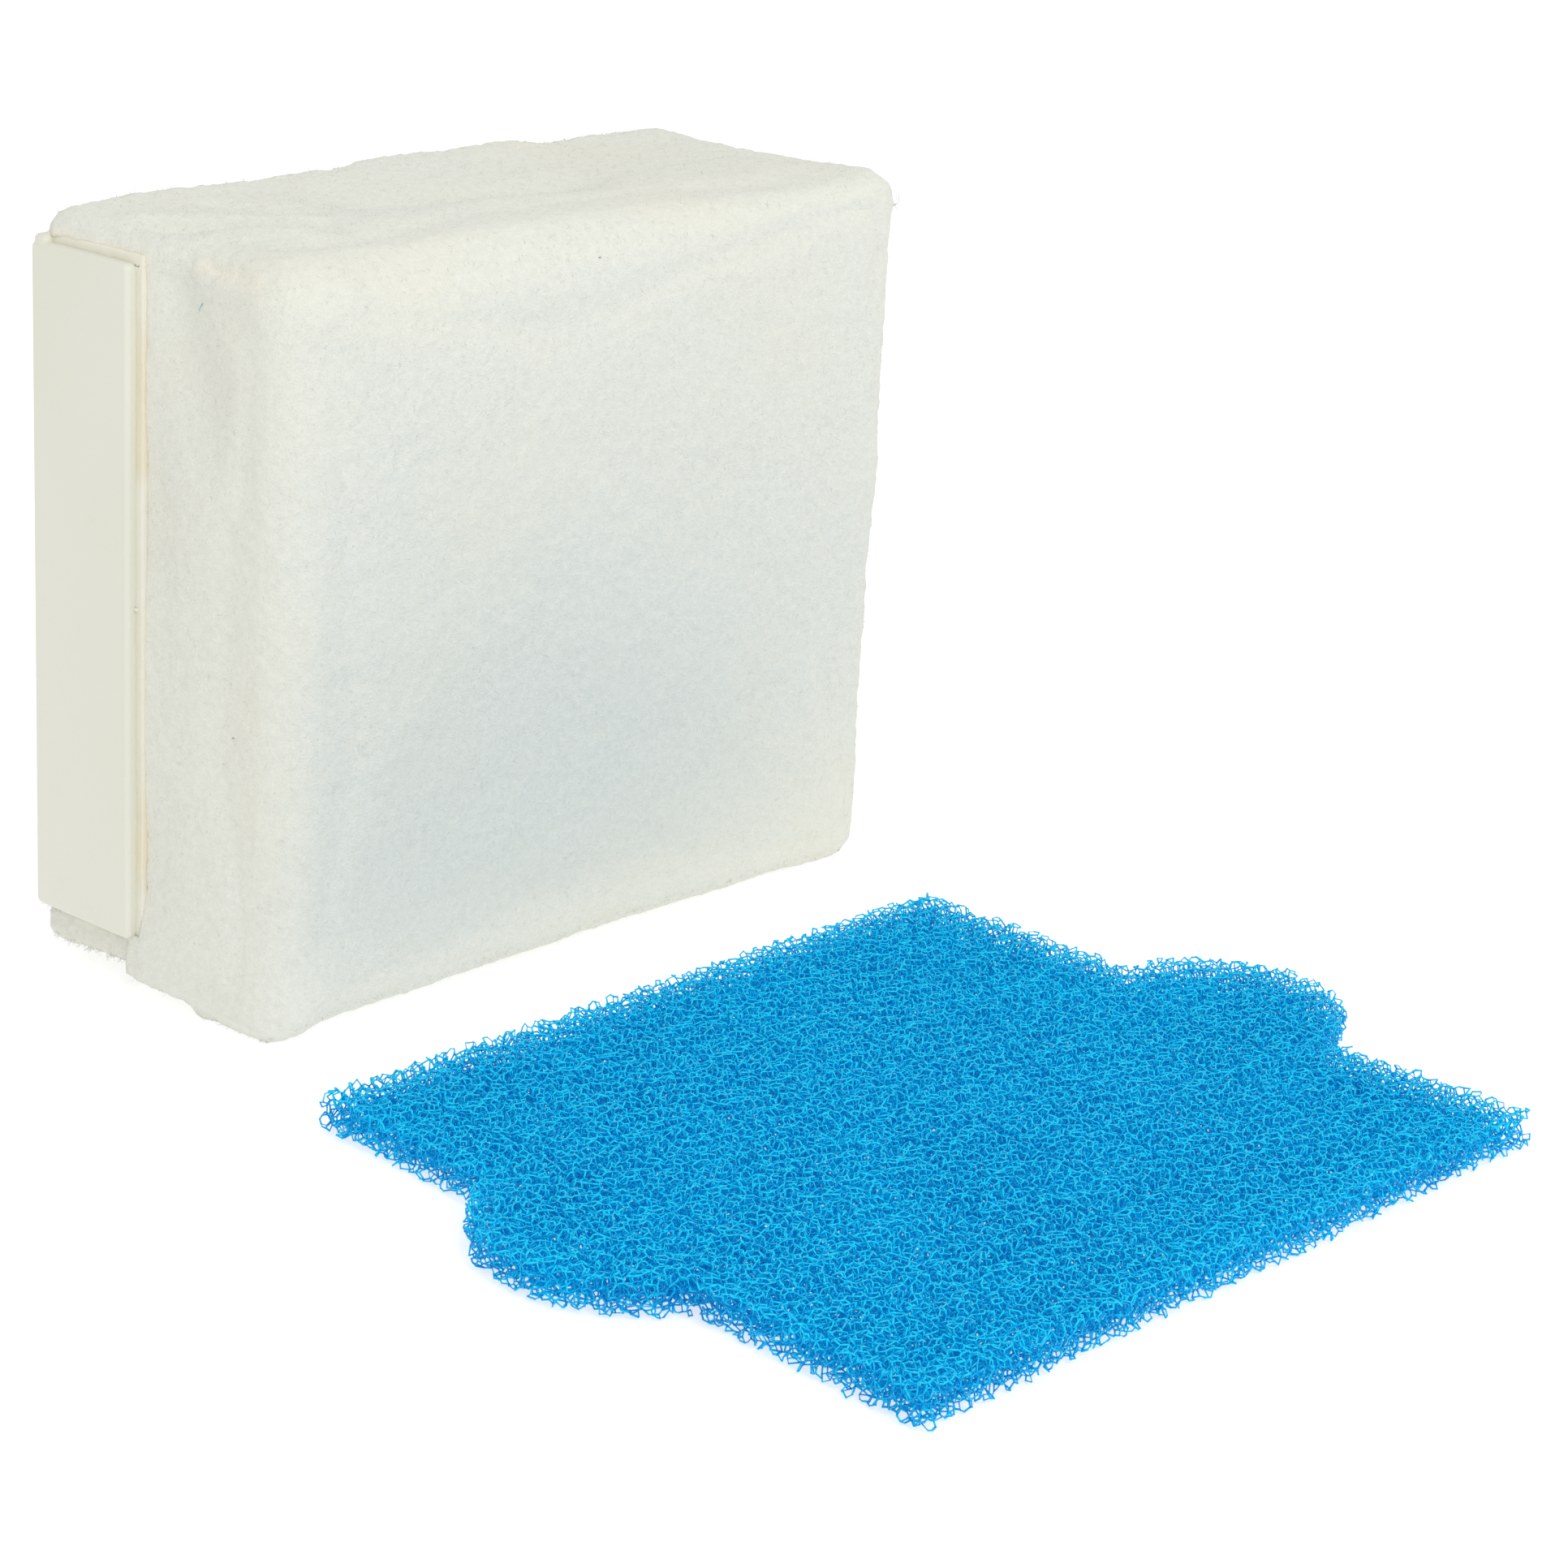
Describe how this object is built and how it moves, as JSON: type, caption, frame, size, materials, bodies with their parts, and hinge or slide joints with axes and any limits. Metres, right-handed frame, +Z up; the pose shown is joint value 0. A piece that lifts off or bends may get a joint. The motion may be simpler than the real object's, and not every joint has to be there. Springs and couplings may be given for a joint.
{
  "type": "filter insert set",
  "caption": "Fleece-wrapped rectangular filter cartridge on a plastic end-plate frame, with a loose flat coarse foam mat that has a round tab on each short side.",
  "frame": {"origin": "centre of the flat fleece underside that the cartridge stands on", "axes": "+X along the cartridge towards the right end plate, +Y towards the outlet grille, +Z up; the mat lies on the same surface on the -Y side"},
  "size_m": [0.2348, 0.2887, 0.1689],
  "materials": {
    "fleece": "white needled polyester fleece, matt and slightly fuzzy",
    "wadding": "white fibre wadding, matt",
    "frame_plastic": "cream-white moulded plastic with a satin surface",
    "core_sponge": "off-white fine open-cell sponge, matt",
    "hot_melt": "pale amber hot-melt glue",
    "blue_foam": "bright azure-blue coarse open-cell foam with a cut surface"
  },
  "bodies": {
    "cartridge": {"fleece_jacket": "fleece", "wadding_block": "wadding", "underside_fleece": "fleece", "end_plate_left": "frame_plastic", "end_plate_right": "frame_plastic", "frame_wall_top": "frame_plastic", "frame_wall_bottom": "frame_plastic", "rear_grille": "frame_plastic", "core_sponge": "core_sponge", "glue_bead_front_left": "hot_melt", "glue_bead_front_right": "hot_melt", "glue_bead_top_left": "hot_melt", "glue_bead_top_right": "hot_melt"},
    "mat": {"foam_mat": "blue_foam"}
  },
  "joints": [
    {"name": "mat_lift", "type": "slide", "parent": "cartridge", "child": "mat", "axis": [0, 0, 1], "range_m": [0, 0.18]}
  ]
}
